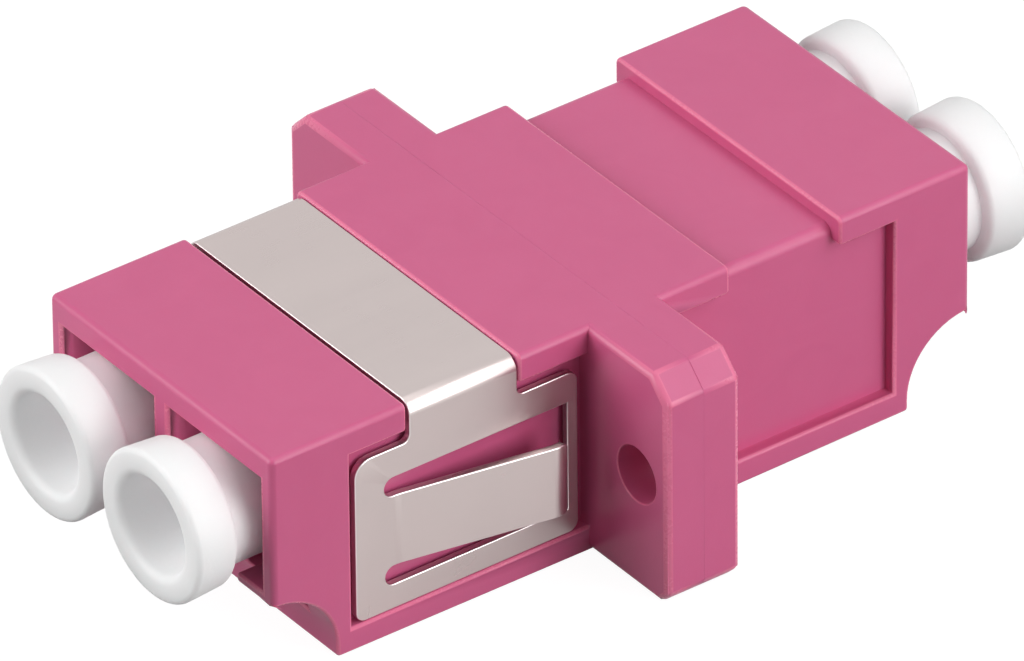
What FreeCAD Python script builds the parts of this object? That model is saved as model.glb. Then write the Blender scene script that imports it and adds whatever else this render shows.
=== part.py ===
import FreeCAD, Part
import os
import Sketcher

# Flanged duplex adapter for LC fibre connectors. Millimetres.
# X runs along the fibres, with the spring clip on the -X half. Y is across, Z is up.
# The origin is under the middle of the whole length, on the plane that the adapter stands on.

doc = FreeCAD.newDocument("lc_fibre_adapter")
V = FreeCAD.Vector

# ---------------------------------------------------------------- driving sizes
SIZES = {
    # Housing: two equal mouldings, welded together at the middle of the flange.
    "body_width": 13.0,
    "body_height": 9.3,
    "half_length": 15.1,
    "edge_round": 0.25,
    "notch_foot": 0.47,
    "notch_lip": 0.38,
    "notch_land": 0.65,
    # Flange, a half of it on each moulding, and its two screw holes.
    "ear_reach": 4.5,
    "flange_thick": 3.2,
    "flange_chamfer": 0.9,
    "flange_foot_chamfer": 0.45,
    "flange_round": 0.3,
    "hole_margin": 1.75,
    "hole_dia": 2.2,
    # Channel over the top for the clip's strap, and the recess in each side for its plate.
    "channel_land": 2.4,
    "channel_width": 4.8,
    "channel_depth": 0.5,
    "recess_depth": 0.5,
    "rail_height": 0.98,
    "lip_height": 1.13,
    # Connector ports, with a latch slot and a latch pocket under each.
    "side_wall": 1.025,
    "centre_wall": 1.55,
    "port_roof": 1.05,
    "mouth_flare": 0.4,
    "latch_slot_width": 2.4,
    "latch_ledge": 1.8,
    "latch_pocket_width": 3.6,
    "latch_pocket_length": 5.8,
    "floor_thick": 1.2,
    # Inner wall and the tubular boss that holds an alignment sleeve.
    "inner_wall": 1.2,
    "boss_wall": 0.6,
    "boss_lip": 0.15,
    "boss_lip_thick": 0.7,
    "boss_end_clear": 0.1,
    # Split alignment sleeve.
    "sleeve_dia": 1.62,
    "sleeve_wall": 0.187,
    "sleeve_length": 6.8,
    "sleeve_slit": 0.25,
    "sleeve_clear": 0.04,
    # Spring clip, folded from one sheet.
    "sheet": 0.3,
    "strap_clear": 0.13,
    "plate_clear": 0.15,
    "foot_clear": 0.05,
    "clip_bend": 0.25,
    "strap_front_gap": 0.15,
    "strap_rear_gap": 0.05,
    "plate_front_gap": 0.2,
    "plate_rear_gap": 0.42,
    "plate_top_gap": 0.49,
    "plate_corner": 0.7,
    "plate_foot_corner": 0.4,
    "strap_root": 0.3,
    "window_front_margin": 1.25,
    "window_rear_margin": 0.45,
    "window_top_margin": 1.2,
    "window_foot_margin": 1.0,
    "tongue_slit": 0.77,
    "tongue_angle": 10.5,
    "tongue_bend": 2.0,
    "tongue_short": 2.25,
    "tongue_corner": 0.25,
    "curl_angle": 34.0,
    "curl_bend": 0.8,
    # Dust caps. The rear pair is pushed in a little less far than the front pair.
    "collar_spacing": 0.45,
    "collar_length": 1.8,
    "collar_taper": 0.12,
    "collar_face_round": 0.2,
    "collar_back_round": 0.3,
    "collar_gap": 0.93,
    "collar_wall": 0.9,
    "rear_cap_ease": 0.42,
    "shank_clear": 0.05,
    "shank_inside": 8.0,
    "shank_chamfer": 0.3,
    "shank_wall": 0.65,
    "cap_floor_wall": 0.6,
    "cap_mouth_depth": 3.0,
    "cap_mouth_round": 0.2,
    "cap_web": 0.8,
}

# Sizes that follow from the driving ones, so that the pieces keep their fit.
FOLLOWING = {
    "port_size": "(body_width - 2 * side_wall - centre_wall) / 2",
    "port_pitch": "port_size + centre_wall",
    "port_floor": "body_height - port_roof - port_size",
    "port_height": "port_floor + port_size / 2",
    "mouth_width": "port_size + 2 * mouth_flare",
    "notch_radius": "port_floor - notch_foot - notch_lip",
    "recess_end": "half_length - notch_radius - notch_land",
    "channel_end": "recess_end - channel_land",
    "channel_start": "channel_end - channel_width",
    "channel_round": "clip_bend + plate_clear",
    "flange_width": "body_width + 2 * ear_reach",
    "hole_side": "flange_width / 2 - hole_margin",
    "sleeve_bore": "sleeve_dia - 2 * sleeve_wall",
    "seat_dia": "sleeve_dia + 2 * sleeve_clear",
    "seat_depth": "sleeve_length / 2 + boss_end_clear",
    "boss_dia": "seat_dia + 2 * boss_wall",
    "boss_mouth_dia": "seat_dia - 2 * boss_lip",
    "boss_tip": "seat_depth + boss_lip_thick",
    "collar_dia": "port_pitch - collar_spacing",
    "shank_dia": "port_size - 2 * shank_clear",
    "cap_mouth_dia": "collar_dia - 2 * collar_wall",
    "cap_floor_dia": "shank_dia - 2 * cap_floor_wall",
    "cap_core_dia": "shank_dia - 2 * shank_wall",
    "off_centre": "rear_cap_ease / 2",
}

sheet = doc.addObject("Spreadsheet::Sheet", "sizes")
rows = [(alias, str(length)) for alias, length in SIZES.items()]
rows += [(alias, "=" + rule) for alias, rule in FOLLOWING.items()]
for row, (alias, content) in enumerate(rows, start=1):
    sheet.set(f"A{row}", alias)
    sheet.set(f"B{row}", content)
    sheet.setAlias(f"B{row}", alias)
doc.recompute()


# ---------------------------------------------------------------- shared expressions
def size(text):
    """An expression in which every named size is read from the sheet."""
    words = []
    for word in text.split():
        named = word in SIZES or word in FOLLOWING
        words.append(f"sizes.{word}" if named else word)
    return " ".join(words)


def minus(text):
    return f"-1 * ( {text} )"


HALF_WIDTH = "body_width / 2"
HALF_FLANGE = "flange_thick / 2"
PORT_SIDE = "port_pitch / 2"
CHANNEL_FLOOR = "body_height - channel_depth"
RECESS_TOP = "body_height - lip_height"
RECESS_FLOOR = "body_width / 2 - recess_depth"

# How far a cutting outline reaches past the face that it opens.
OVERCUT = 1.0
# How far a joined feature is sunk into the solid that carries it.
ROOTED = 0.3


# ---------------------------------------------------------------- modelling helpers
def new_body(label):
    body = doc.addObject("PartDesign::Body", label)
    body.Label = label
    return body


def origin_item(body, role):
    return next(item for item in body.Origin.OriginFeatures if item.Role == role)


def new_sketch(body, name, plane, offset="0"):
    sketch = body.newObject("Sketcher::SketchObject", name)
    sketch.AttachmentSupport = [(origin_item(body, plane), "")]
    sketch.MapMode = "FlatFace"
    sketch.setExpression(".AttachmentOffset.Base.z", size(offset))
    return sketch


def pin_point(sketch, geometry, point, x_text, y_text):
    """Ties a point of the sketch to its own origin with two driven distances."""
    for kind, text in (("DistanceX", x_text), ("DistanceY", y_text)):
        now = float(sketch.evalExpression(size(text)))
        index = sketch.addConstraint(Sketcher.Constraint(kind, -1, 1, geometry, point, now))
        sketch.setExpression(f"Constraints[{index}]", size(text))


def bulged_arc(start, end, radius, side):
    """The minor arc of a radius from start to end, bulging to the right (1) or left (-1)."""
    chord = end - start
    middle = (start + end) * 0.5
    reach = (radius * radius - chord.Length ** 2 / 4) ** 0.5
    across = V(chord.y, -chord.x, 0).normalize() * side
    crown = middle + across * (radius - reach)
    return Part.Arc(start, crown, end)


def outline(sketch, corners):
    """A closed outline. A corner is (x, y), or (x, y, radius, side) where an arc leaves it."""
    points = []
    for corner in corners:
        x_now = float(sketch.evalExpression(size(corner[0])))
        y_now = float(sketch.evalExpression(size(corner[1])))
        points.append(V(x_now, y_now, 0))
    for number, corner in enumerate(corners):
        start = points[number]
        end = points[(number + 1) % len(points)]
        if len(corner) == 2:
            edge = sketch.addGeometry(Part.LineSegment(start, end))
            first, last = 1, 2
        else:
            radius_text, side = corner[2:]
            radius = float(sketch.evalExpression(size(radius_text)))
            edge = sketch.addGeometry(bulged_arc(start, end, radius, side))
            first, last = (1, 2) if side == 1 else (2, 1)
            index = sketch.addConstraint(Sketcher.Constraint("Radius", edge, radius))
            sketch.setExpression(f"Constraints[{index}]", size(radius_text))
        following = corners[(number + 1) % len(corners)]
        pin_point(sketch, edge, first, corner[0], corner[1])
        pin_point(sketch, edge, last, following[0], following[1])


def rectangle(sketch, left, right, low, high):
    outline(sketch, [(left, low), (right, low), (right, high), (left, high)])


def circle(sketch, x_text, y_text, diameter):
    now = float(sketch.evalExpression(size(diameter)))
    edge = sketch.addGeometry(Part.Circle(V(0, 0, 0), V(0, 0, 1), now / 2))
    pin_point(sketch, edge, 3, x_text, y_text)
    index = sketch.addConstraint(Sketcher.Constraint("Diameter", edge, now))
    sketch.setExpression(f"Constraints[{index}]", size(diameter))


def pad(body, name, sketch, length, backwards=False, both_ways=False):
    feature = body.newObject("PartDesign::Pad", name)
    feature.Profile = sketch
    feature.setExpression("Length", size(length))
    feature.Reversed = backwards
    if both_ways:
        feature.SideType = "Symmetric"
    return feature


def pocket(body, name, sketch, depth=None, backwards=False, both_ways=False):
    """A pocket of a depth, or right through where none is given. It has to remove something."""
    doc.recompute()
    before = body.Shape.Volume
    feature = body.newObject("PartDesign::Pocket", name)
    feature.Profile = sketch
    if depth is None:
        feature.Type = "ThroughAll"
    else:
        feature.setExpression("Length", size(depth))
    feature.Reversed = backwards
    if both_ways:
        feature.SideType = "Symmetric"
    doc.recompute()
    if not body.Shape.Volume < before:
        raise RuntimeError(f"{name} removes nothing")
    return feature


def place(body, turn=0, outward="0", side="0", height="0"):
    """Stands a body in the assembly, with the middle of the whole length at the origin."""
    body.Placement = FreeCAD.Placement(V(0, 0, 0), FreeCAD.Rotation(V(0, 0, 1), turn))
    body.setExpression(".Placement.Base.x", size(f"{outward} - off_centre"))
    body.setExpression(".Placement.Base.y", size(side))
    body.setExpression(".Placement.Base.z", size(height))


def mirrored(body, name, features, plane="XZ_Plane"):
    feature = body.newObject("PartDesign::Mirrored", name)
    feature.Originals = features
    feature.MirrorPlane = (origin_item(body, plane), [""])
    body.Tip = feature
    return feature


def rounded(body, name, radius, chosen):
    """A fillet on the edges of the body that the chosen test picks."""
    doc.recompute()
    base = body.Tip
    names = []
    for number, edge in enumerate(base.Shape.Edges, start=1):
        if chosen(edge):
            names.append(f"Edge{number}")
    feature = body.newObject("PartDesign::Fillet", name)
    feature.Base = (base, names)
    feature.setExpression("Radius", size(radius))
    doc.recompute()
    return feature


def now(text):
    """The present value of an expression, for picking edges by their place."""
    return float(sheet.evalExpression(size(text)))


def same(first, second):
    return abs(first - second) < Part.Precision.confusion() * 10


# ---------------------------------------------------------------- housing half
def along(edge, axis):
    """True for a straight edge that runs along one axis."""
    box = edge.BoundBox
    lengths = {"X": box.XLength, "Y": box.YLength, "Z": box.ZLength}
    others = [length for name, length in lengths.items() if name != axis]
    return lengths[axis] > max(others) and same(max(others), 0)


def is_block_edge(edge):
    """The outer edges of the end block and of the block beside the flange."""
    box = edge.BoundBox
    at_side = same(abs(box.Center.y), now(HALF_WIDTH))
    at_top = same(box.ZMin, now("body_height"))
    at_end = same(box.XMax, now(minus("half_length")))
    if along(edge, "X"):
        return at_side and at_top
    if along(edge, "Z"):
        return at_side and at_end
    return along(edge, "Y") and at_top and at_end


def is_flange_edge(edge):
    """The rim of the flange's outer face, clear of the block between its ears."""
    box = edge.BoundBox
    on_face = same(box.XMin, box.XMax) and same(box.XMax, now(minus(HALF_FLANGE)))
    beyond_block = abs(box.Center.y) > now(HALF_WIDTH)
    straight = len(edge.Vertexes) == 2
    at_root = same(box.YLength, 0) and same(abs(box.Center.y), now(HALF_WIDTH))
    return on_face and beyond_block and straight and not at_root


def make_housing(label, turn):
    """One moulding. The rear one is the same, turned half a circle about Z."""
    body = new_body(label)

    # The long block, from the weld plane to the port end. A quarter-round notch under the
    # end gives a finger room to press the connector's latch.
    side = new_sketch(body, label + "_side_view", "XZ_Plane")
    notch_edge = "-1 * half_length + notch_radius"
    outline(side, [
        ("0", "0"),
        ("0", "body_height"),
        (minus("half_length"), "body_height"),
        (minus("half_length"), "notch_foot + notch_radius", "notch_radius", -1),
        (notch_edge, "notch_foot"),
        (notch_edge, "0"),
    ])
    pad(body, label + "_block", side, "body_width", both_ways=True)

    # Half of the flange, with both ears chamfered above and below.
    across = new_sketch(body, label + "_flange_view", "YZ_Plane")
    reach = "flange_width / 2"
    ear = [
        (f"{reach} - flange_foot_chamfer", "0"),
        (reach, "flange_foot_chamfer"),
        (reach, "body_height - flange_chamfer"),
        (f"{reach} - flange_chamfer", "body_height"),
    ]
    outline(across, ear + [(minus(y_text), z_text) for y_text, z_text in reversed(ear)])
    pad(body, label + "_flange", across, HALF_FLANGE, backwards=True)

    holes = new_sketch(body, label + "_hole_view", "YZ_Plane")
    for sign in ("", "-1 * "):
        circle(holes, f"{sign}hole_side", "body_height / 2", "hole_dia")
    pocket(body, label + "_screw_holes", holes)

    # Channel for the strap, right across the top.
    channel = new_sketch(body, label + "_channel_view", "XZ_Plane")
    rectangle(channel, minus("channel_end"), minus("channel_start"),
              CHANNEL_FLOOR, f"body_height + {OVERCUT}")
    pocket(body, label + "_channel", channel, both_ways=True)

    # Recess in each side for the clip's plate. It runs under the two lips of the top and
    # opens up into the channel between them.
    recess = new_sketch(body, label + "_recess_view", "XZ_Plane", HALF_WIDTH)
    outline(recess, [
        (minus("recess_end"), "rail_height"),
        (minus(HALF_FLANGE), "rail_height"),
        (minus(HALF_FLANGE), RECESS_TOP),
        (minus("channel_start"), RECESS_TOP),
        (minus("channel_start"), "body_height"),
        (minus("channel_end"), "body_height"),
        (minus("channel_end"), RECESS_TOP),
        (minus("recess_end"), RECESS_TOP),
    ])
    left_recess = pocket(body, label + "_recess", recess, "recess_depth")

    # The channel's floor is rounded down into the recess, inside the clip's bend.
    bend = new_sketch(body, label + "_bend_view", "YZ_Plane", minus("channel_start"))
    inside = f"{RECESS_FLOOR} - channel_round"
    outside = f"body_width / 2 + {OVERCUT}"
    below = f"{CHANNEL_FLOOR} - channel_round"
    above = f"body_height + {OVERCUT}"
    outline(bend, [
        (RECESS_FLOOR, below, "channel_round", 1),
        (inside, CHANNEL_FLOOR),
        (inside, above),
        (outside, above),
        (outside, below),
    ])
    left_bend = pocket(body, label + "_bend", bend, "channel_width")
    mirrored(body, label + "_recesses", [left_recess, left_bend])

    # Port: a square socket from the end to the inner wall, with a flared mouth.
    doc.recompute()
    socket = new_sketch(body, label + "_socket_view", "YZ_Plane", minus("inner_wall"))
    half_port = "port_size / 2"
    rectangle(socket, f"{PORT_SIDE} - {half_port}", f"{PORT_SIDE} + {half_port}",
              "port_floor", f"port_height + {half_port}")
    port_socket = pocket(body, label + "_socket", socket)

    mouth = new_sketch(body, label + "_mouth_view", "XY_Plane", "port_floor")
    flare_start = "-1 * half_length + mouth_flare"
    outline(mouth, [
        (minus("half_length"), f"{PORT_SIDE} - mouth_width / 2"),
        (flare_start, f"{PORT_SIDE} - {half_port}"),
        (flare_start, f"{PORT_SIDE} + {half_port}"),
        (minus("half_length"), f"{PORT_SIDE} + mouth_width / 2"),
    ])
    port_mouth = pocket(body, label + "_mouth", mouth, "port_size", backwards=True)

    # Under the socket, the slot that the latch arm drops through, between two ledges, and
    # behind them the pocket in which the latch's shoulders catch.
    ledge_back = "-1 * half_length + latch_ledge"
    slot = new_sketch(body, label + "_slot_view", "YZ_Plane", ledge_back)
    rectangle(slot, f"{PORT_SIDE} - latch_slot_width / 2", f"{PORT_SIDE} + latch_slot_width / 2",
              "floor_thick", "port_height")
    latch_slot = pocket(body, label + "_latch_slot", slot)

    catch = new_sketch(body, label + "_catch_view", "YZ_Plane", ledge_back)
    rectangle(catch, f"{PORT_SIDE} - latch_pocket_width / 2", f"{PORT_SIDE} + latch_pocket_width / 2",
              "floor_thick", "port_height")
    latch_pocket = pocket(body, label + "_latch_pocket", catch, "latch_pocket_length", backwards=True)
    mirrored(body, label + "_ports", [port_socket, port_mouth, latch_slot, latch_pocket])

    # Tubular bosses on the inner wall. Each holds half of a sleeve behind a small lip.
    doc.recompute()
    tube = new_sketch(body, label + "_boss_view", "YZ_Plane", minus(f"inner_wall - {ROOTED}"))
    seat = new_sketch(body, label + "_seat_view", "YZ_Plane")
    way_in = new_sketch(body, label + "_way_in_view", "YZ_Plane")
    for sign in ("", "-1 * "):
        circle(tube, f"{sign}{PORT_SIDE}", "port_height", "boss_dia")
        circle(seat, f"{sign}{PORT_SIDE}", "port_height", "seat_dia")
        circle(way_in, f"{sign}{PORT_SIDE}", "port_height", "boss_mouth_dia")
    pad(body, label + "_bosses", tube, f"boss_tip - inner_wall + {ROOTED}", backwards=True)
    pocket(body, label + "_sleeve_seats", seat, "seat_depth")
    pocket(body, label + "_ferrule_ways", way_in, "boss_tip")

    rounded(body, label + "_flange_edges", "flange_round", is_flange_edge)
    rounded(body, label + "_block_edges", "edge_round", is_block_edge)
    place(body, turn)
    return body


# ---------------------------------------------------------------- split sleeve
def make_sleeve(label, side):
    body = new_body(label)
    ring = new_sketch(body, label + "_ring_view", "YZ_Plane")
    circle(ring, "0", "0", "sleeve_dia")
    circle(ring, "0", "0", "sleeve_bore")
    pad(body, label + "_tube", ring, "sleeve_length", both_ways=True)
    cut = new_sketch(body, label + "_slit_view", "YZ_Plane")
    rectangle(cut, "-1 * sleeve_slit / 2", "sleeve_slit / 2", "0", "sleeve_dia")
    pocket(body, label + "_slit", cut, both_ways=True)
    place(body, side=f"{side} * {PORT_SIDE}", height="port_height")
    return body


# ---------------------------------------------------------------- spring clip
PLATE_OUT = f"{RECESS_FLOOR} + plate_clear + sheet"
STRAP_TOP = f"{CHANNEL_FLOOR} + strap_clear + sheet"
PLATE_FRONT = "recess_end - plate_front_gap"
PLATE_REAR = f"{HALF_FLANGE} + plate_rear_gap"
PLATE_TOP = f"{RECESS_TOP} - plate_top_gap"
PLATE_FOOT = "rail_height + foot_clear"
STRAP_FRONT = "channel_end - strap_front_gap"
STRAP_REAR = "channel_start + strap_rear_gap"
OUTER_BEND = "clip_bend + sheet"
WINDOW_FRONT = f"{PLATE_FRONT} - window_front_margin"
WINDOW_REAR = f"{PLATE_REAR} + window_rear_margin"
WINDOW_TOP = f"{PLATE_TOP} - window_top_margin"
WINDOW_FOOT = f"{PLATE_FOOT} + window_foot_margin"
TONGUE_FOOT = f"{WINDOW_FOOT} + tongue_slit"
TONGUE_HEIGHT = f"{WINDOW_TOP} - ( {WINDOW_FOOT} ) - 2 * tongue_slit"
TONGUE_STRAIGHT = f"( {WINDOW_FRONT} - ( {WINDOW_REAR} ) - tongue_short )"
SLIT_END = "tongue_slit / 2"
TONGUE_ROOT = minus(f"{WINDOW_FRONT} - {SLIT_END}")


def shoulder(sketch, strap_edge, plate_edge, corner, toward):
    """What is cut away beside the strap, down to the plate's rounded upper corner."""
    sky = f"body_height + {OVERCUT}"
    beyond = f"{plate_edge} + {toward} * {OVERCUT}"
    side = -toward
    arc_root = (strap_edge, f"{PLATE_TOP} + strap_root", "strap_root", -side)
    arc_corner = (f"{plate_edge} - {toward} * {corner}", PLATE_TOP, corner, side)
    outline(sketch, [
        (strap_edge, sky),
        arc_root,
        (f"{strap_edge} + {toward} * strap_root", PLATE_TOP),
        arc_corner,
        (plate_edge, f"{PLATE_TOP} - {corner}"),
        (beyond, f"{PLATE_TOP} - {corner}"),
        (beyond, sky),
    ])


def make_clip(label):
    body = new_body(label)

    # The fold, seen along X: down one side, over the top and down the other.
    fold = new_sketch(body, label + "_fold_view", "YZ_Plane", minus(PLATE_FRONT))
    inner = f"{PLATE_OUT} - sheet"
    inner_top = f"{STRAP_TOP} - sheet"
    outline(fold, [
        (minus(PLATE_OUT), PLATE_FOOT),
        (minus(PLATE_OUT), f"{STRAP_TOP} - ( {OUTER_BEND} )", OUTER_BEND, -1),
        (minus(f"{PLATE_OUT} - ( {OUTER_BEND} )"), STRAP_TOP),
        (f"{PLATE_OUT} - ( {OUTER_BEND} )", STRAP_TOP, OUTER_BEND, -1),
        (PLATE_OUT, f"{STRAP_TOP} - ( {OUTER_BEND} )"),
        (PLATE_OUT, PLATE_FOOT),
        (inner, PLATE_FOOT),
        (inner, f"{inner_top} - clip_bend", "clip_bend", 1),
        (f"{inner} - clip_bend", inner_top),
        (minus(f"{inner} - clip_bend"), inner_top, "clip_bend", 1),
        (minus(inner), f"{inner_top} - clip_bend"),
        (minus(inner), PLATE_FOOT),
    ])
    pad(body, label + "_fold", fold, f"{PLATE_FRONT} - ( {PLATE_REAR} )")

    # The strap is narrower than the plates.
    front = new_sketch(body, label + "_front_shoulder_view", "XZ_Plane")
    shoulder(front, minus(STRAP_FRONT), minus(PLATE_FRONT), "plate_corner", -1)
    pocket(body, label + "_front_shoulder", front, both_ways=True)
    rear = new_sketch(body, label + "_rear_shoulder_view", "XZ_Plane")
    shoulder(rear, minus(STRAP_REAR), minus(PLATE_REAR), "plate_foot_corner", 1)
    pocket(body, label + "_rear_shoulder", rear, both_ways=True)

    # The window in each plate that frees the tongue. The slits above and below the tongue end
    # in half-circles, so that the sheet doesn't tear at the tongue's root.
    window = new_sketch(body, label + "_window_view", "XZ_Plane")
    outline(window, [
        (TONGUE_ROOT, WINDOW_FOOT),
        (minus(WINDOW_REAR), WINDOW_FOOT),
        (minus(WINDOW_REAR), WINDOW_TOP),
        (TONGUE_ROOT, WINDOW_TOP, SLIT_END, 1),
        (minus(WINDOW_FRONT), f"{WINDOW_TOP} - {SLIT_END}", SLIT_END, 1),
        (TONGUE_ROOT, f"{WINDOW_TOP} - tongue_slit"),
        (TONGUE_ROOT, TONGUE_FOOT, SLIT_END, 1),
        (minus(WINDOW_FRONT), f"{WINDOW_FOOT} + {SLIT_END}", SLIT_END, 1),
    ])
    pocket(body, label + "_windows", window, both_ways=True)

    def is_foot_corner(edge):
        box = edge.BoundBox
        at_foot = same(box.ZMax, now(PLATE_FOOT))
        at_ends = same(box.XMin, now(minus(PLATE_FRONT))) or same(box.XMax, now(minus(PLATE_REAR)))
        return along(edge, "Y") and at_foot and at_ends

    rounded(body, label + "_foot_corners", "plate_foot_corner", is_foot_corner)

    # Tongue, seen from above: bent out of the plate at its root, straight, and curled back
    # at its free end so that it rides over the panel's edge.
    tongue = new_sketch(body, label + "_tongue_view", "XY_Plane", TONGUE_FOOT)
    lean = "tongue_angle * 1deg"
    back = "( tongue_angle - curl_angle ) * 1deg"
    root = TONGUE_ROOT
    outer = minus(PLATE_OUT)
    bend_x = f"{root} + tongue_bend * sin( {lean} )"
    bend_y = f"{outer} - tongue_bend * ( 1 - cos( {lean} ) )"
    run_x = f"{bend_x} + {TONGUE_STRAIGHT} * cos( {lean} )"
    run_y = f"{bend_y} - {TONGUE_STRAIGHT} * sin( {lean} )"
    outer_curl = "( curl_bend + sheet )"
    tip_x = f"{run_x} + {outer_curl} * ( sin( {back} ) * -1 + sin( {lean} ) )"
    tip_y = f"{run_y} - {outer_curl} * ( cos( {back} ) - cos( {lean} ) ) * -1"
    outline(tongue, [
        (f"{root} - {ROOTED}", outer),
        (root, outer, "tongue_bend", -1),
        (bend_x, bend_y),
        (run_x, run_y, outer_curl, -1),
        (tip_x, tip_y),
        (f"{tip_x} + sheet * sin( {back} )", f"{tip_y} + sheet * cos( {back} )", "curl_bend", 1),
        (f"{run_x} + sheet * sin( {lean} )", f"{run_y} + sheet * cos( {lean} )"),
        (f"{bend_x} + sheet * sin( {lean} )", f"{bend_y} + sheet * cos( {lean} )",
         "( tongue_bend + sheet )", 1),
        (root, f"{outer} + sheet"),
        (f"{root} - {ROOTED}", f"{outer} + sheet"),
    ])
    bent = pad(body, label + "_tongue", tongue, TONGUE_HEIGHT)
    mirrored(body, label + "_tongues", [bent])

    def is_tip_corner(edge):
        box = edge.BoundBox
        return same(box.ZMin, box.ZMax) and same(box.XMax, now(tip_x)) and len(edge.Vertexes) == 2

    rounded(body, label + "_tip_corners", "tongue_corner", is_tip_corner)
    place(body)
    return body


# ---------------------------------------------------------------- dust cap
def make_cap(label, side, turn, ease="0"):
    """A turned form: recessed collar outside the port, cored shank inside it."""
    body = new_body(label)
    profile = new_sketch(body, label + "_half_view", "XY_Plane")
    face = "-1 * half_length - collar_gap - collar_length"
    back = "-1 * half_length - collar_gap"
    tip = "-1 * half_length + shank_inside"
    floor = f"{face} + cap_mouth_depth"
    core_end = f"{floor} + cap_web"
    rim = "collar_dia / 2"
    back_rim = f"{rim} - collar_taper"
    easing = "cap_mouth_round"
    outline(profile, [
        (floor, "0"),
        (floor, "cap_floor_dia / 2"),
        (f"{face} + {easing}", "cap_mouth_dia / 2", easing, -1),
        (face, f"cap_mouth_dia / 2 + {easing}"),
        (face, f"{rim} - collar_face_round", "collar_face_round", -1),
        (f"{face} + collar_face_round", rim),
        (f"{back} - collar_back_round", back_rim, "collar_back_round", -1),
        (back, f"{back_rim} - collar_back_round"),
        (back, "shank_dia / 2"),
        (f"{tip} - shank_chamfer", "shank_dia / 2"),
        (tip, "shank_dia / 2 - shank_chamfer"),
        (tip, "cap_core_dia / 2"),
        (core_end, "cap_core_dia / 2"),
        (core_end, "0"),
    ])
    turned = body.newObject("PartDesign::Revolution", label + "_turned")
    turned.Profile = profile
    turned.ReferenceAxis = (profile, ["H_Axis"])
    turned.Angle = 360
    place(body, turn, ease, f"{side} * {PORT_SIDE}", "port_height")
    return body


# ---------------------------------------------------------------- the assembly
HALF_TURN = 180
LEFT = 1
RIGHT = -1

parts = [
    make_housing("housing_front", 0),
    make_housing("housing_rear", HALF_TURN),
    make_clip("spring_clip"),
]
for side_name, side in (("left", LEFT), ("right", RIGHT)):
    parts.append(make_sleeve(f"sleeve_{side_name}", side))
    parts.append(make_cap(f"dust_cap_front_{side_name}", side, 0))
    parts.append(make_cap(f"dust_cap_rear_{side_name}", side, HALF_TURN, "rear_cap_ease"))

doc.recompute()
faults = [item.Label for item in doc.Objects if {"Invalid", "Error"} & set(item.State)]
if faults:
    raise RuntimeError("failed objects: " + ", ".join(faults))
for part in parts:
    if part.Shape.isNull() or not part.Shape.isValid():
        raise RuntimeError("bad shape: " + part.Label)

os.makedirs("parts", exist_ok=True)
for part in parts:
    part.Shape.exportStep(f"parts/{part.Label}.step")
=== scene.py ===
import math

import bmesh
import bpy
from mathutils import Matrix, Vector


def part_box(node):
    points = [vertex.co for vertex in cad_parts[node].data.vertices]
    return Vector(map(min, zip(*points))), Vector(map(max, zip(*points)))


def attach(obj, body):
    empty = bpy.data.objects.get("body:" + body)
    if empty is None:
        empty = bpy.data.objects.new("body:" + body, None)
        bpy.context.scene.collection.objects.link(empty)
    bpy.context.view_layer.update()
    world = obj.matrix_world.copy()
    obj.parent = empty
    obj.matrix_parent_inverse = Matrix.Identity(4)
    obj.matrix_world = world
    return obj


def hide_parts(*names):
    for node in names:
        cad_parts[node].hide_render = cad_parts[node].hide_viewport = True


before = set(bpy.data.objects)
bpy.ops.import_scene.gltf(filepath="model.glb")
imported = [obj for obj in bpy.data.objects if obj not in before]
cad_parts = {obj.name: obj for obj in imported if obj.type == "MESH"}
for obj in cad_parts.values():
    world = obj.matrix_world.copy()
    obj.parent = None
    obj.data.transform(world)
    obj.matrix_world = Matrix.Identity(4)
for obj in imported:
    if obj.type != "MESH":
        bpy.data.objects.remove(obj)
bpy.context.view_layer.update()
MM = 0.001

# ---------------------------------------------------------------- the two housing mouldings
# A duplex adapter's housing: two equal mouldings of magenta polycarbonate, welded together
# at the middle of the flange. The mould leaves every edge softened, its walls spark-grained,
# and the two halves meet in a hairline seam.
HOUSING_EDGE = 0.14 * MM
HOUSING_EDGE_STEPS = 4
SEAM_SHARE = 0.2
SEAM_EDGE = 0.01 * MM
SEAM_ZONE = 0.1 * MM
HOLE_SHARE = 0.4
HOLE_SIDE = 9.25 * MM
HOLE_ZONE = 1.3 * MM
SQUARE_ON = 0.995
SMALL_FACE = 1.0 * MM * MM
SHARP_FOLD = math.radians(35)
FACET_FOLD = math.radians(0.5)
SAME_POINT = 0.002 * MM
FLATS_FIRST = 100


def add_node(tree, kind, **settings):
    node = tree.nodes.new(kind)
    for name, value in settings.items():
        setattr(node, name, value)
    return node


def new_material(name):
    """A material with its Principled shader, its tree and its Object coordinates."""
    material = bpy.data.materials.new(name)
    material.use_nodes = True
    tree = material.node_tree
    shader = tree.nodes["Principled BSDF"]
    place = add_node(tree, "ShaderNodeTexCoord").outputs["Object"]
    return material, tree, shader, place


def new_effect(name, inputs, outputs):
    """A shader node group with float inputs beside its Vector, and float outputs."""
    group = bpy.data.node_groups.new(name, "ShaderNodeTree")
    group.interface.new_socket(name="Vector", in_out="INPUT", socket_type="NodeSocketVector")
    for label, value in inputs.items():
        socket = group.interface.new_socket(
            name=label, in_out="INPUT", socket_type="NodeSocketFloat")
        socket.default_value = value
    for label in outputs:
        group.interface.new_socket(name=label, in_out="OUTPUT", socket_type="NodeSocketFloat")
    return group, add_node(group, "NodeGroupInput"), add_node(group, "NodeGroupOutput")


def place_effect(tree, group, vector, **values):
    """The group placed in a material, with its inputs given by name."""
    node = add_node(tree, "ShaderNodeGroup", node_tree=group)
    tree.links.new(vector, node.inputs["Vector"])
    for label, value in values.items():
        node.inputs[label.replace("_", " ")].default_value = value
    return node


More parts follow.
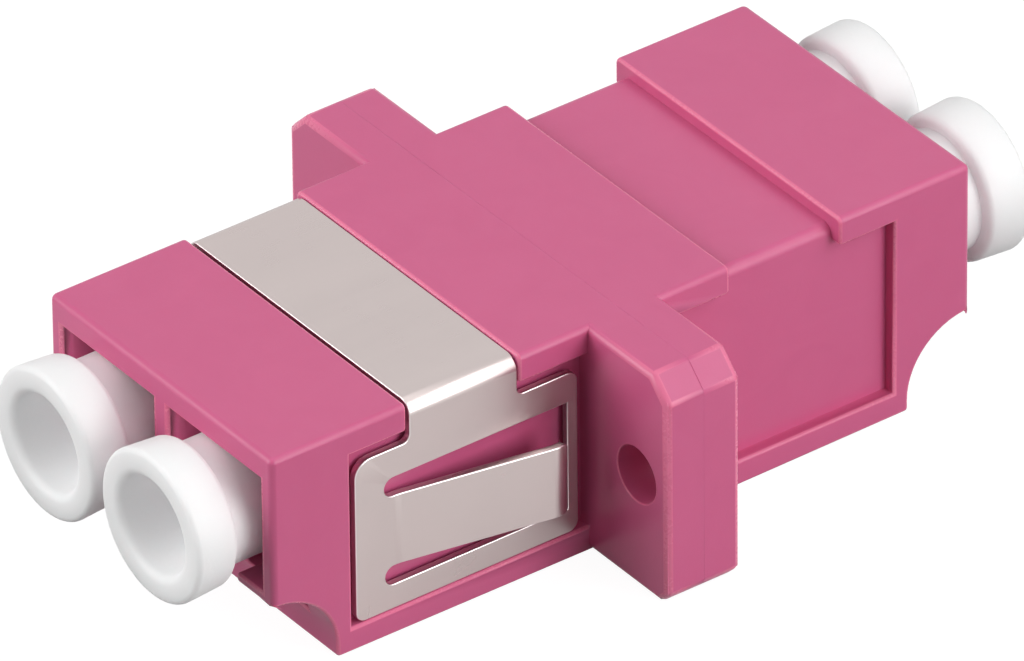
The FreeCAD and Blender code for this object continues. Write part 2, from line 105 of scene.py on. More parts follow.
def arithmetic(tree, operation, first, second):
    """A Math node on two sockets or numbers. The result is its output socket."""
    node = add_node(tree, "ShaderNodeMath", operation=operation)
    for socket, value in zip(node.inputs, (first, second)):
        if isinstance(value, (int, float)):
            socket.default_value = value
        else:
            tree.links.new(value, socket)
    return node.outputs[0]


def remapped(tree, value, low, high):
    """A value from 0 to 1 spread between two others."""
    node = add_node(tree, "ShaderNodeMapRange")
    tree.links.new(value, node.inputs["Value"])
    node.inputs["To Min"].default_value = low
    node.inputs["To Max"].default_value = high
    return node.outputs["Result"]


def blended(tree, factor, first, second):
    """Two colours mixed by a factor."""
    node = add_node(tree, "ShaderNodeMix", data_type="RGBA")
    tree.links.new(factor, node.inputs[0])
    for socket, colour in zip(node.inputs[6:8], (first, second)):
        if isinstance(colour, tuple):
            socket.default_value = (*colour, 1)
        else:
            tree.links.new(colour, socket)
    return node.outputs[2]


def relief(tree, shader, height, depth):
    """A Bump node of a depth in metres, feeding the shader's normal."""
    bump = add_node(tree, "ShaderNodeBump")
    bump.inputs["Distance"].default_value = depth
    tree.links.new(height, bump.inputs["Height"])
    tree.links.new(bump.outputs["Normal"], shader.inputs["Normal"])


# A moulded skin: the fine grain that the spark-eroded mould leaves, slow sink over the thick
# walls, and cloudy flow of the pigment.
FLOW_TO_SINK = 1.6
moulded_skin, given, result = new_effect(
    "Moulded skin", {"Grain Scale": 9000.0, "Sink Scale": 260.0}, ("Grain", "Sink", "Flow"))
for label, scale, detail in (("Grain", "Grain Scale", 3.0), ("Sink", "Sink Scale", 1.0)):
    noise = add_node(moulded_skin, "ShaderNodeTexNoise")
    noise.inputs["Detail"].default_value = detail
    moulded_skin.links.new(given.outputs["Vector"], noise.inputs["Vector"])
    moulded_skin.links.new(given.outputs[scale], noise.inputs["Scale"])
    moulded_skin.links.new(noise.outputs["Fac"], result.inputs[label])
flow = add_node(moulded_skin, "ShaderNodeTexNoise")
flow.inputs["Detail"].default_value = 4.0
flow.inputs["Distortion"].default_value = 1.2
moulded_skin.links.new(given.outputs["Vector"], flow.inputs["Vector"])
flow_scale = arithmetic(moulded_skin, "MULTIPLY", given.outputs["Sink Scale"], FLOW_TO_SINK)
moulded_skin.links.new(flow_scale, flow.inputs["Scale"])
moulded_skin.links.new(flow.outputs["Fac"], result.inputs["Flow"])

# Handling: the soft smears that fingers leave.
handled, given, result = new_effect("Handled surface", {"Smear Scale": 180.0}, ("Smear",))
smear = add_node(handled, "ShaderNodeTexNoise")
smear.inputs["Detail"].default_value = 2.0
smear.inputs["Distortion"].default_value = 2.5
handled.links.new(given.outputs["Vector"], smear.inputs["Vector"])
handled.links.new(given.outputs["Smear Scale"], smear.inputs["Scale"])
handled.links.new(smear.outputs["Fac"], result.inputs["Smear"])

# Painted edge highlight: the attribute that marks the softened edges, broken up so that some
# stretches show less.
EDGE_UNEVEN = (0.6, 1.3)
painted_edge_highlight, given, result = new_effect("Painted edge highlight", {"Patch Scale": 500.0}, ("Edge",))
marked = add_node(painted_edge_highlight, "ShaderNodeAttribute", attribute_name="edge")
patch = add_node(painted_edge_highlight, "ShaderNodeTexNoise")
patch.inputs["Detail"].default_value = 2.0
painted_edge_highlight.links.new(given.outputs["Vector"], patch.inputs["Vector"])
painted_edge_highlight.links.new(given.outputs["Patch Scale"], patch.inputs["Scale"])
uneven = remapped(painted_edge_highlight, patch.outputs["Fac"], *EDGE_UNEVEN)
painted_edge_highlight.links.new(arithmetic(painted_edge_highlight, "MULTIPLY", marked.outputs["Fac"], uneven),
                      result.inputs["Edge"])

# Magenta plastic, satin, with a trace of light passing into the pigment. Its edges are smoother,
# and carry a painted highlight: a paler pink.
MAGENTA = (0.64, 0.124, 0.268)
MAGENTA_DEEP = (0.60, 0.107, 0.244)
MAGENTA_PAINTED_HIGHLIGHT = (0.80, 0.19, 0.33)
SATIN = (0.27, 0.37)
GRAIN_GLOSS = (-0.03, 0.05)
EDGE_GLOSS = 0.06
GRAIN_HEIGHT = 0.12
SKIN_DEPTH = 0.02 * MM
magenta_plastic, tree, shader, place = new_material("Magenta moulded plastic")
skin = place_effect(tree, moulded_skin, place, Grain_Scale=9000.0, Sink_Scale=260.0)
touched = place_effect(tree, handled, place, Smear_Scale=190.0)
painted_edges = place_effect(tree, painted_edge_highlight, place, Patch_Scale=500.0)
pigment = blended(tree, skin.outputs["Flow"], MAGENTA_DEEP, MAGENTA)
# Painted highlight: the softened edges are mixed towards a paler pink.
tree.links.new(blended(tree, painted_edges.outputs["Edge"], pigment, MAGENTA_PAINTED_HIGHLIGHT),
               shader.inputs["Base Color"])
gloss = arithmetic(tree, "ADD", remapped(tree, touched.outputs["Smear"], *SATIN),
                   remapped(tree, skin.outputs["Grain"], *GRAIN_GLOSS))
gloss = arithmetic(tree, "SUBTRACT", gloss,
                   arithmetic(tree, "MULTIPLY", painted_edges.outputs["Edge"], EDGE_GLOSS))
tree.links.new(gloss, shader.inputs["Roughness"])
height = arithmetic(tree, "ADD", skin.outputs["Sink"],
                    arithmetic(tree, "MULTIPLY", skin.outputs["Grain"], GRAIN_HEIGHT))
relief(tree, shader, height, SKIN_DEPTH)
shader.inputs["IOR"].default_value = 1.5
shader.inputs["Specular IOR Level"].default_value = 0.35
shader.inputs["Subsurface Weight"].default_value = 0.12
shader.inputs["Subsurface Radius"].default_value = (1.0, 0.25, 0.4)
shader.inputs["Subsurface Scale"].default_value = 0.4 * MM


def fold_angle(edge):
    return edge.calc_face_angle(0.0) if len(edge.link_faces) == 2 else 0.0


def merged_copy(node):
    """A CAD node's mesh with its points merged and its flat faces whole."""
    made = bmesh.new()
    made.from_mesh(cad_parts[node].data)
    bmesh.ops.remove_doubles(made, verts=made.verts, dist=SAME_POINT)
    bmesh.ops.dissolve_limit(made, angle_limit=FACET_FOLD, verts=made.verts, edges=made.edges)
    return made


def softened(made, name, edge_share, width, steps, is_plain):
    """The mesh with its outer edges rounded, each by a share, and its inner ones crisp.

    Its attribute, on which the edge highlight is painted, is 0 on the plain faces and 1 at the
    middle of what lies between them.
    """
    share = made.edges.layers.float.new("bevel_weight_edge")
    for edge in made.edges:
        if fold_angle(edge) <= SHARP_FOLD:
            continue
        if edge.is_convex:
            edge[share] = edge_share((edge.verts[0].co + edge.verts[1].co) / 2)
        else:
            edge.smooth = False
    for face in made.faces:
        face.smooth = True
    crisp = bpy.data.meshes.new(name + "_crisp")
    made.to_mesh(crisp)
    made.free()
    blank = bpy.data.objects.new(name + "_crisp", crisp)
    bpy.context.scene.collection.objects.link(blank)
    bevel = blank.modifiers.new("Softened edges", "BEVEL")
    bevel.limit_method = "WEIGHT"
    bevel.width = width
    bevel.segments = steps
    bevel.use_clamp_overlap = False
    bevel.material = 1
    even = blank.modifiers.new("Even flats", "WEIGHTED_NORMAL")
    even.mode = "FACE_AREA"
    even.weight = FLATS_FIRST
    even.keep_sharp = True
    for finish in ("flats", "edges"):
        crisp.materials.append(bpy.data.materials.new(name + "_" + finish))
    mesh = bpy.data.meshes.new_from_object(
        blank.evaluated_get(bpy.context.evaluated_depsgraph_get()))
    bpy.data.objects.remove(blank)
    on_flat = {v for face in mesh.polygons if is_plain(face) for v in face.vertices}
    marks = mesh.attributes.new("edge", "FLOAT", "POINT")
    for v in range(len(mesh.vertices)):
        marks.data[v].value = 0.0 if v in on_flat else 1.0
    for face in mesh.polygons:
        face.material_index = 0
    return mesh


def finished_piece(name, mesh, material, body, replaced):
    """The piece in the scene, with its finish, its body and the CAD node that it stands for."""
    piece = bpy.data.objects.new(name, mesh)
    bpy.context.scene.collection.objects.link(piece)
    mesh.materials.clear()
    mesh.materials.append(material)
    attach(piece, body)
    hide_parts(replaced)
    return piece


weld_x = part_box("housing_front")[1].x
hole_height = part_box("housing_front")[1].z / 2
ear_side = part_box("spring_clip")[1].y


def near_hole(place):
    return math.hypot(abs(place.y) - HOLE_SIDE, place.z - hole_height) < HOLE_ZONE


def housing_edge_share(middle):
    """Full rounding everywhere but at the weld's hairline and the rims of the screw holes."""
    if abs(middle.x - weld_x) < SEAM_EDGE:
        return SEAM_SHARE
    return HOLE_SHARE if near_hole(middle) else 1.0


def is_housing_plain(face):
    """A face that gets no painted edge highlight: neither a new softened edge away from the weld's
    hairline nor a round of the flange's ears.
    """
    if face.material_index == 1:
        return abs(face.center.x - weld_x) < SEAM_ZONE
    on_ear = abs(face.center.y) > ear_side and not near_hole(face.center)
    tilted = max(abs(part) for part in face.normal) < SQUARE_ON
    return not (on_ear and tilted and face.area < SMALL_FACE)


for node in ("housing_front", "housing_rear"):
    name = node + "_moulding"
    moulding = softened(merged_copy(node), name, housing_edge_share, HOUSING_EDGE,
                        HOUSING_EDGE_STEPS, is_housing_plain)
    finished_piece(name, moulding, magenta_plastic, "adapter", node)

# ---------------------------------------------------------------- the spring clip
# One strip of stainless spring steel, blanked and folded over the housing: a strap across the
# top and a plate down each side, each with a sprung tongue. It snaps into its channel.
CLIP_EDGE = 0.045 * MM
CLIP_EDGE_STEPS = 3

# Rolled steel: faint grain along the strip, broken up by long soft streaks.
rolled_grain, given, result = new_effect(
    "Rolled grain", {"Grain Scale": 5200.0, "Streak": 0.05}, ("Grain", "Streaks"))
along = add_node(rolled_grain, "ShaderNodeCombineXYZ")
along.inputs["Y"].default_value = 1.0
rolled_grain.links.new(given.outputs["Streak"], along.inputs["X"])
rolled_grain.links.new(given.outputs["Streak"], along.inputs["Z"])
squeeze = add_node(rolled_grain, "ShaderNodeVectorMath", operation="MULTIPLY")
rolled_grain.links.new(given.outputs["Vector"], squeeze.inputs[0])
rolled_grain.links.new(along.outputs["Vector"], squeeze.inputs[1])
for label, share, detail in (("Grain", 1.0, 5.0), ("Streaks", 0.12, 2.0)):
    noise = add_node(rolled_grain, "ShaderNodeTexNoise")
    noise.inputs["Detail"].default_value = detail
    rolled_grain.links.new(squeeze.outputs["Vector"], noise.inputs["Vector"])
    scale = arithmetic(rolled_grain, "MULTIPLY", given.outputs["Grain Scale"], share)
    rolled_grain.links.new(scale, noise.inputs["Scale"])
    rolled_grain.links.new(noise.outputs["Fac"], result.inputs[label])

STEEL = (0.60, 0.525, 0.51)
STEEL_DULL = (0.54, 0.47, 0.46)
STEEL_PAINTED_HIGHLIGHT = (0.7, 0.64, 0.64)
ROLLED_GLOSS = (0.22, 0.36)
ROLLED_GRAIN_GLOSS = (-0.03, 0.06)
ROLLED_DEPTH = 0.0015 * MM
spring_steel, tree, shader, place = new_material("Rolled spring steel")
rolled = place_effect(tree, rolled_grain, place, Grain_Scale=5200.0, Streak=0.05)
touched = place_effect(tree, handled, place, Smear_Scale=220.0)
painted_edges = place_effect(tree, painted_edge_highlight, place, Patch_Scale=700.0)
rolled_colour = blended(tree, rolled.outputs["Streaks"], STEEL_DULL, STEEL)
# Painted highlight: the clip's softened edges are mixed towards a paler steel.
tree.links.new(blended(tree, painted_edges.outputs["Edge"], rolled_colour, STEEL_PAINTED_HIGHLIGHT),
               shader.inputs["Base Color"])
gloss = arithmetic(tree, "ADD", remapped(tree, touched.outputs["Smear"], *ROLLED_GLOSS),
                   remapped(tree, rolled.outputs["Grain"], *ROLLED_GRAIN_GLOSS))
tree.links.new(gloss, shader.inputs["Roughness"])
relief(tree, shader, rolled.outputs["Grain"], ROLLED_DEPTH)
shader.inputs["Metallic"].default_value = 1.0

# Each tongue leans out of its plate, and its tip curls back in so that the panel's edge rides
# over it.
TONGUE_LEAN = math.radians(10.5)
TONGUE_CUT = 2.75 * MM
TONGUE_STRAIGHT = 0.9 * MM
CURL = math.radians(36)
CURL_RADIUS = 1.05 * MM
CURL_STEPS = 9
TIP_ROUND = 0.25 * MM
TIP_STEPS = 5
TONGUE_LOW, TONGUE_HIGH = 2.7 * MM, 5.8 * MM


def tongue_station(along):
    """The place of the outer face in x and outward, and its lean, at a length past the cut."""
    lean, straight = TONGUE_LEAN, min(along, TONGUE_STRAIGHT)
    x, out = straight * math.cos(lean), straight * math.sin(lean)
    if along > TONGUE_STRAIGHT:
        lean -= (along - TONGUE_STRAIGHT) / CURL_RADIUS
        x += CURL_RADIUS * (math.sin(TONGUE_LEAN) - math.sin(lean))
        out -= CURL_RADIUS * (math.cos(TONGUE_LEAN) - math.cos(lean))
    return x, out, lean


def curl_tongue(made, side):
    """One tongue cut short across its line, then drawn on along its curl to a rounded tip."""
    cut_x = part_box("spring_clip")[1].x - TONGUE_CUT

    def on_tongue(element):
        corners = getattr(element, "verts", [element])
        return all(TONGUE_LOW < v.co.z < TONGUE_HIGH and v.co.y * side > 0 for v in corners)

    def outward(v):
        return v.co.y * side

    whole = [e for kind in (made.verts, made.edges, made.faces) for e in kind if on_tongue(e)]
    forward = Vector((math.cos(TONGUE_LEAN), side * math.sin(TONGUE_LEAN), 0))
    outer = max((v for v in made.verts if on_tongue(v)), key=outward)
    bmesh.ops.bisect_plane(made, geom=whole, dist=SAME_POINT, plane_co=(cut_x, outer.co.y, 0),
                           plane_no=forward, clear_outer=True)
    rim = [e for e in made.edges if e.is_boundary]
    points = {v for e in rim for v in e.verts}
    start = max(points, key=outward).co.copy()
    middle = (max(v.co.z for v in points) + min(v.co.z for v in points)) / 2
    half = max(v.co.z for v in points) - middle
    curl_length = CURL_RADIUS * CURL
    length = TONGUE_STRAIGHT + curl_length
    stations = [TONGUE_STRAIGHT + curl_length * k / CURL_STEPS for k in range(CURL_STEPS)]
    steps = [(along, 1.0) for along in stations if along < length - TIP_ROUND]
    for k in range(TIP_STEPS + 1):
        turn = math.pi / 2 * k / TIP_STEPS
        steps.append((length - TIP_ROUND * (1 - math.sin(turn)),
                      1 - TIP_ROUND * (1 - math.cos(turn)) / half))
    before = (0.0, 0.0, TONGUE_LEAN, 1.0)
    for along, height in steps:
        drawn = bmesh.ops.extrude_edge_only(made, edges=rim)["geom"]
        rim = [e for e in drawn if isinstance(e, bmesh.types.BMEdge) and e.is_boundary]
        x, out, lean = tongue_station(along)
        for v in {v for e in rim for v in e.verts}:
            was_x, was_out, was_lean, was_height = before
            depth = ((v.co.x - start.x - was_x) * -math.sin(was_lean)
                     + ((v.co.y - start.y) * side - was_out) * math.cos(was_lean))
            v.co = (start.x + x - depth * math.sin(lean),
                    start.y + side * (out + depth * math.cos(lean)),
                    middle + (v.co.z - middle) / was_height * height)
        before = (x, out, lean, height)
    bmesh.ops.edgeloop_fill(made, edges=rim)


clip_made = merged_copy("spring_clip")
for side in (1, -1):
    curl_tongue(clip_made, side)
bmesh.ops.recalc_face_normals(clip_made, faces=clip_made.faces)
clip = softened(clip_made, "spring_clip_folded", lambda middle: 1.0, CLIP_EDGE,
                CLIP_EDGE_STEPS, lambda face: face.material_index == 0)
finished_piece("spring_clip_folded", clip, spring_steel, "adapter", "spring_clip")

# ---------------------------------------------------------------- the alignment sleeves
# Two split tubes of zirconia, ground and polished, which float in the bosses inside and line
# up the ferrules of facing connectors.
ZIRCONIA = (0.86, 0.83, 0.77)
ZIRCONIA_WARM = (0.83, 0.79, 0.71)
GROUND_GLOSS = (0.08, 0.18)
GROUND_DEPTH = 0.002 * MM
zirconia, tree, shader, place = new_material("Polished zirconia")
skin = place_effect(tree, moulded_skin, place, Grain_Scale=14000.0, Sink_Scale=700.0)
tree.links.new(blended(tree, skin.outputs["Flow"], ZIRCONIA_WARM, ZIRCONIA),
               shader.inputs["Base Color"])
tree.links.new(remapped(tree, skin.outputs["Grain"], *GROUND_GLOSS), shader.inputs["Roughness"])
relief(tree, shader, skin.outputs["Grain"], GROUND_DEPTH)
shader.inputs["IOR"].default_value = 2.1

for node in ("sleeve_left", "sleeve_right"):
    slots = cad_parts[node].data.materials
    for number in range(len(slots)):
        slots[number] = zirconia

# ---------------------------------------------------------------- the dust caps
# Four round caps of white polyethylene, moulded in one shot and pushed into the ports. Each
# has a collar with an open recess in its face, and a cored shank that grips the socket.
CAP_SIZES = {
    "Collar Radius": 2.9 * MM,
    "Collar Taper": 0.12 * MM,
    "Collar Length": 1.8 * MM,
    "Face Round": 0.2 * MM,
    "Back Round": 0.3 * MM,
    "Mouth Radius": 1.88 * MM,
    "Mouth Round": 0.35 * MM,
    "Mouth Depth": 2.3 * MM,
    "Floor Radius": 1.6 * MM,
    "Floor Round": 0.3 * MM,
    "Web": 1.5 * MM,
    "Core Radius": 1.65 * MM,
    "Shank Radius": 2.3 * MM,
    "Tip Chamfer": 0.3 * MM,
}
CAP_SEGMENTS = 112
ROUND_STEPS = 9
CREASE = math.radians(40)
CLOSING = 0.0005 * MM

WAX_WHITE = (0.955, 0.95, 0.96)
WAX_SHADE = (0.94, 0.935, 0.945)
WAX_GLOSS = (0.42, 0.56)
WAX_GRAIN_HEIGHT = 0.2
WAX_DEPTH = 0.025 * MM
white_polyethylene, tree, shader, place = new_material("White polyethylene")
skin = place_effect(tree, moulded_skin, place, Grain_Scale=7000.0, Sink_Scale=420.0)
touched = place_effect(tree, handled, place, Smear_Scale=260.0)
tree.links.new(blended(tree, skin.outputs["Flow"], WAX_SHADE, WAX_WHITE),
               shader.inputs["Base Color"])
tree.links.new(remapped(tree, touched.outputs["Smear"], *WAX_GLOSS), shader.inputs["Roughness"])
height = arithmetic(tree, "ADD", skin.outputs["Sink"],
                    arithmetic(tree, "MULTIPLY", skin.outputs["Grain"], WAX_GRAIN_HEIGHT))
relief(tree, shader, height, WAX_DEPTH)
shader.inputs["IOR"].default_value = 1.5
shader.inputs["Subsurface Weight"].default_value = 1.0
shader.inputs["Subsurface Radius"].default_value = (1.0, 0.95, 0.95)
shader.inputs["Subsurface Scale"].default_value = 0.8 * MM

# The tree turns a half profile about the cap's axis. The profile runs from the middle of the
# recess's floor, round the collar, along the shank and back up its core.
turning = bpy.data.node_groups.new("Turned dust cap", "GeometryNodeTree")
turning.interface.new_socket(name="Geometry", in_out="OUTPUT", socket_type="NodeSocketGeometry")


def take(label, kind, value=None):
    """A named input of the tree."""
    socket = turning.interface.new_socket(
        name=label, in_out="INPUT", socket_type="NodeSocket" + kind)
    if value is not None:
        socket.default_value = value


take("Geometry", "Geometry")
for label, value in CAP_SIZES.items():
    take(label, "Float", value)
take("Length", "Float")
take("Turn", "Float")
take("Place", "Vector")
take("Segments", "Int", CAP_SEGMENTS)
take("Round Steps", "Int", ROUND_STEPS)
given = add_node(turning, "NodeGroupInput")
result = add_node(turning, "NodeGroupOutput")


def feed(source, socket):
    """A link, or a plain value where the source is one."""
    if isinstance(source, (int, float)):
        socket.default_value = source
    else:
        turning.links.new(source, socket)


def sized(label):
    return given.outputs[label]


def vector_of(first, second, third=0.0):
    node = add_node(turning, "ShaderNodeCombineXYZ")
    for socket, value in zip(node.inputs, (first, second, third)):
        feed(value, socket)
    return node.outputs[0]


floor_x = sized("Mouth Depth")
core_x = arithmetic(turning, "ADD", floor_x, sized("Web"))
back_radius = arithmetic(turning, "SUBTRACT", sized("Collar Radius"), sized("Collar Taper"))
chamfer_x = arithmetic(turning, "SUBTRACT", sized("Length"), sized("Tip Chamfer"))
chamfer_radius = arithmetic(turning, "SUBTRACT", sized("Shank Radius"), sized("Tip Chamfer"))
corners = [
    (floor_x, 0.0, 0.0),
    (floor_x, sized("Floor Radius"), sized("Floor Round")),
    (0.0, sized("Mouth Radius"), sized("Mouth Round")),
    (0.0, sized("Collar Radius"), sized("Face Round")),
    (sized("Collar Length"), back_radius, sized("Back Round")),
    (sized("Collar Length"), sized("Shank Radius"), 0.0),
    (chamfer_x, sized("Shank Radius"), 0.0),
    (sized("Length"), chamfer_radius, 0.0),
    (sized("Length"), sized("Core Radius"), 0.0),
    (core_x, sized("Core Radius"), 0.0),
    (core_x, 0.0, 0.0),
]
index = add_node(turning, "GeometryNodeInputIndex").outputs["Index"]
corner_place = add_node(turning, "GeometryNodeIndexSwitch", data_type="VECTOR")
corner_round = add_node(turning, "GeometryNodeIndexSwitch", data_type="FLOAT")
for chooser in (corner_place, corner_round):
    while len(chooser.index_switch_items) < len(corners):
        chooser.index_switch_items.new()
    turning.links.new(index, chooser.inputs["Index"])
for number, (along_x, radius, rounding) in enumerate(corners, start=1):
    turning.links.new(vector_of(along_x, radius), corner_place.inputs[number])
    feed(rounding, corner_round.inputs[number])

dots = add_node(turning, "GeometryNodePoints")
dots.inputs["Count"].default_value = len(corners)
turning.links.new(corner_place.outputs[0], dots.inputs["Position"])
joined = add_node(turning, "GeometryNodePointsToCurves")
turning.links.new(dots.outputs[0], joined.inputs[0])
profile = add_node(turning, "GeometryNodeFilletCurve", mode="POLY")
turning.links.new(joined.outputs[0], profile.inputs["Curve"])
turning.links.new(sized("Round Steps"), profile.inputs["Count"])
turning.links.new(corner_round.outputs[0], profile.inputs["Radius"])

count = add_node(turning, "GeometryNodeAttributeDomainSize", component="CURVE")
turning.links.new(profile.outputs["Curve"], count.inputs["Geometry"])
points_around = arithmetic(turning, "ADD", sized("Segments"), 1.0)
skin_grid = add_node(turning, "GeometryNodeMeshGrid")
turning.links.new(points_around, skin_grid.inputs["Vertices X"])
turning.links.new(count.outputs["Point Count"], skin_grid.inputs["Vertices Y"])
turn_number = arithmetic(turning, "DIVIDE", index, count.outputs["Point Count"])
turn_number = arithmetic(turning, "FLOOR", turn_number, 0.0)
profile_number = arithmetic(turning, "MODULO", index, count.outputs["Point Count"])
angle = arithmetic(turning, "DIVIDE", turn_number, sized("Segments"))
angle = arithmetic(turning, "MULTIPLY", angle, math.tau)

sampled = add_node(turning, "GeometryNodeSampleIndex", data_type="FLOAT_VECTOR", domain="POINT")
position = add_node(turning, "GeometryNodeInputPosition").outputs[0]
turning.links.new(profile.outputs["Curve"], sampled.inputs["Geometry"])
turning.links.new(position, sampled.inputs["Value"])
turning.links.new(profile_number, sampled.inputs["Index"])
spot = add_node(turning, "ShaderNodeSeparateXYZ")
turning.links.new(sampled.outputs[0], spot.inputs[0])
turned_y = arithmetic(turning, "MULTIPLY", spot.outputs["Y"],
                      arithmetic(turning, "COSINE", angle, 0.0))
turned_z = arithmetic(turning, "MULTIPLY", spot.outputs["Y"],
                      arithmetic(turning, "SINE", angle, 0.0))
turned = add_node(turning, "GeometryNodeSetPosition")
turning.links.new(skin_grid.outputs["Mesh"], turned.inputs["Geometry"])
turning.links.new(vector_of(spot.outputs["X"], turned_y, turned_z), turned.inputs["Position"])

closed = add_node(turning, "GeometryNodeMergeByDistance")
closed.inputs["Distance"].default_value = CLOSING
turning.links.new(turned.outputs[0], closed.inputs["Geometry"])
smooth = add_node(turning, "GeometryNodeSetShadeSmooth", domain="FACE")
turning.links.new(closed.outputs[0], smooth.inputs["Geometry"])
fold = add_node(turning, "GeometryNodeInputMeshEdgeAngle")
soft_edge = arithmetic(turning, "LESS_THAN", fold.outputs["Unsigned Angle"], CREASE)
creased = add_node(turning, "GeometryNodeSetShadeSmooth", domain="EDGE")
turning.links.new(smooth.outputs[0], creased.inputs["Geometry"])
turning.links.new(soft_edge, creased.inputs["Shade Smooth"])
moved = add_node(turning, "GeometryNodeTransform")
turning.links.new(creased.outputs[0], moved.inputs["Geometry"])
turning.links.new(sized("Place"), moved.inputs["Translation"])
turning.links.new(vector_of(0.0, 0.0, sized("Turn")), moved.inputs["Rotation"])
realized = add_node(turning, "GeometryNodeRealizeInstances")
turning.links.new(moved.outputs[0], realized.inputs[0])
dressed = add_node(turning, "GeometryNodeSetMaterial")
dressed.inputs["Material"].default_value = white_polyethylene
turning.links.new(realized.outputs[0], dressed.inputs["Geometry"])
turning.links.new(dressed.outputs[0], result.inputs["Geometry"])


def turned_mesh(name, values):
    """The tree's mesh for one cap, with the tree's inputs set by name."""
    blank = bpy.data.objects.new(name, bpy.data.meshes.new(name + "_blank"))
    bpy.context.scene.collection.objects.link(blank)
    modifier = blank.modifiers.new("Turning", "NODES")
    modifier.node_group = turning
    for item in turning.interface.items_tree:
        if item.in_out == "INPUT" and item.name in values:
            modifier[item.identifier] = values[item.name]
    seen = blank.evaluated_get(bpy.context.evaluated_depsgraph_get())
    mesh = bpy.data.meshes.new_from_object(seen)
    bpy.data.objects.remove(blank)
    return mesh


for end in ("front", "rear"):
    for side in ("left", "right"):
        node = f"dust_cap_{end}_{side}"
        name = node + "_turned"
        low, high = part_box(node)
        face_x = low[0] if end == "front" else high[0]
        values = {
            "Length": high[0] - low[0],
            "Turn": 0.0 if end == "front" else math.pi,
            "Place": (face_x, (low[1] + high[1]) / 2, (low[2] + high[2]) / 2),
        }
        finished_piece(name, turned_mesh(name, values), white_polyethylene,
                       f"cap_{end}_{side}", node)

# ---------------------------------------------------------------- studio and camera
# A white table under four soft boxes. The table takes the object's shadow, and shows white to
# the lens and in reflections. It lies a hair under the base, so that no two faces coincide.
TABLE_SIZE = 3.0
TABLE_DROP = 0.01 * MM
TABLE_WHITE = (0.95, 0.95, 0.95)
TABLE_DIM = (0.2, 0.2, 0.2)
TABLE_GLOW = 1.12
GLOW_SHARE = (0.3, 0.84)
ROOM_LEVEL = (0.22, 1.0)
LIGHT_DISTANCE = 0.35
SOFT_BOXES = (
    ("front box", (0.49, -0.56, 0.67), 0.25, 2.45),
    ("low box", (0.3, -0.92, 0.26), 0.2, 4.9),
    ("end box", (-0.8, 0.4, 0.45), 0.25, 4.5),
    ("top box", (0.0, 0.15, 1.0), 0.25, 0.7),
)

table_mesh = bpy.data.meshes.new("table")
half = TABLE_SIZE / 2
table_corners = [(x * half, y * half, -TABLE_DROP)
                 for x, y in ((-1, -1), (1, -1), (1, 1), (-1, 1))]
table_mesh.from_pydata(table_corners, [], [(0, 1, 2, 3)])
table = bpy.data.objects.new("table", table_mesh)
bpy.context.scene.collection.objects.link(table)


def seen_plainly(tree):
    """1 where a ray comes straight from the lens, a reflection or a clear material."""
    path = add_node(tree, "ShaderNodeLightPath")
    seen = arithmetic(tree, "MAXIMUM", path.outputs["Is Camera Ray"], path.outputs["Is Glossy Ray"])
    return arithmetic(tree, "MAXIMUM", seen, path.outputs["Is Transmission Ray"])


table_white, tree, shader, place = new_material("White table")
tree.links.new(blended(tree, seen_plainly(tree), TABLE_DIM, TABLE_WHITE),
               shader.inputs["Base Color"])
shader.inputs["Roughness"].default_value = 1.0
shader.inputs["Specular IOR Level"].default_value = 0.0
glow = add_node(tree, "ShaderNodeEmission")
mixed = add_node(tree, "ShaderNodeMixShader")
to_lens = add_node(tree, "ShaderNodeLightPath").outputs["Is Camera Ray"]
share = arithmetic(tree, "MULTIPLY", seen_plainly(tree), remapped(tree, to_lens, *GLOW_SHARE))
tree.links.new(share, mixed.inputs["Fac"])
tree.links.new(shader.outputs["BSDF"], mixed.inputs[1])
tree.links.new(glow.outputs["Emission"], mixed.inputs[2])
tree.links.new(mixed.outputs["Shader"], tree.nodes["Material Output"].inputs["Surface"])
glow.inputs["Strength"].default_value = TABLE_GLOW
table_mesh.materials.append(table_white)

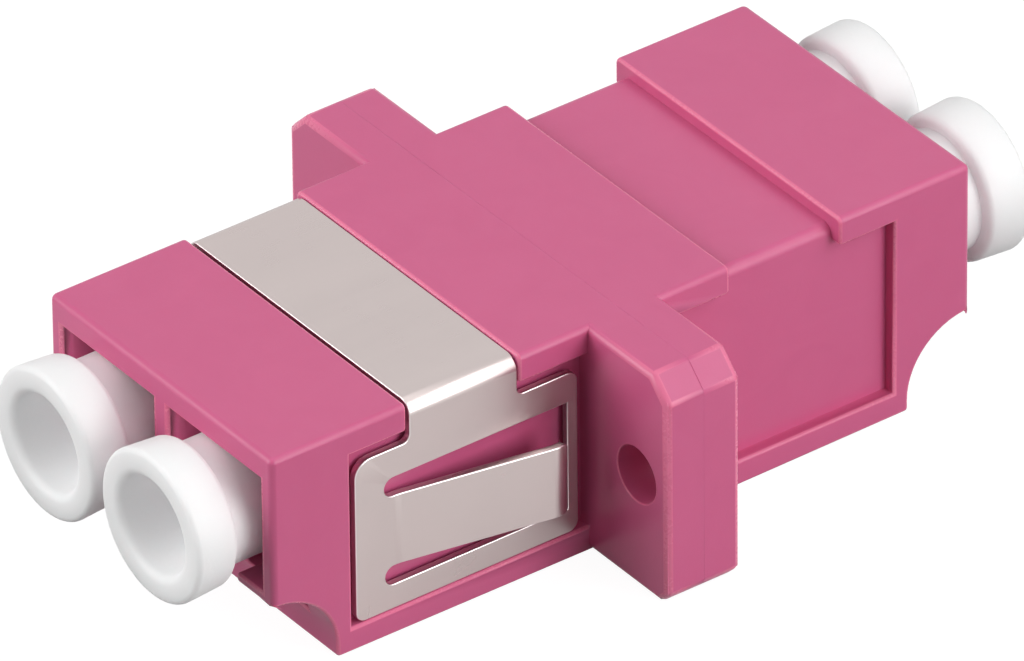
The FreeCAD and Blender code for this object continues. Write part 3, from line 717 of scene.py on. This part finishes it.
room = bpy.data.worlds.new("Studio room")
bpy.context.scene.world = room
room.use_nodes = True
tree = room.node_tree
background = tree.nodes["Background"]
tree.links.new(remapped(tree, seen_plainly(tree), *ROOM_LEVEL), background.inputs["Strength"])
background.inputs["Color"].default_value = (1, 1, 1, 1)


def soft_box(name, toward, size, level):
    """A square light of a plain brightness, facing the object from a direction."""
    lamp = bpy.data.lights.new(name, "AREA")
    lamp.shape = "SQUARE"
    lamp.size = size
    lamp.energy = level * math.pi * size * size
    light = bpy.data.objects.new(name, lamp)
    bpy.context.scene.collection.objects.link(light)
    direction = Vector(toward).normalized()
    light.location = direction * LIGHT_DISTANCE
    light.rotation_mode = "QUATERNION"
    light.rotation_quaternion = direction.to_track_quat("Z", "Y")


for box in SOFT_BOXES:
    soft_box(*box)

# The camera stands well back with a long lens, so that far and near edges stay nearly parallel.
SENSOR = 36
LENS = 662.696
VIEW_TURN = math.radians(-36.4076)
VIEW_RISE = math.radians(34.1510)
VIEW_ROLL = math.radians(-0.5507)
VIEW_DISTANCE = 0.659094
AIM_X, AIM_RIGHT, AIM_UP = -0.21 * MM, -0.0768 * MM, 4.1437 * MM

back = Vector((math.sin(VIEW_TURN) * math.cos(VIEW_RISE),
               -math.cos(VIEW_TURN) * math.cos(VIEW_RISE), math.sin(VIEW_RISE)))
level_right = Vector((0, 0, 1)).cross(back).normalized()
level_up = back.cross(level_right)
right = math.cos(VIEW_ROLL) * level_right + math.sin(VIEW_ROLL) * level_up
up = math.cos(VIEW_ROLL) * level_up - math.sin(VIEW_ROLL) * level_right
lens = bpy.data.cameras.new("camera")
lens.sensor_width = SENSOR
lens.lens = LENS
lens.clip_start = 0.01
lens.clip_end = 10
camera = bpy.data.objects.new("camera", lens)
bpy.context.scene.collection.objects.link(camera)
stand = Matrix((right, up, back)).transposed().to_4x4()
stand.translation = (right * AIM_RIGHT + up * AIM_UP + back * VIEW_DISTANCE
                     + Vector((AIM_X, 0, 0)))
camera.matrix_world = stand
bpy.context.scene.camera = camera
bpy.context.scene.view_settings.view_transform = "Standard"
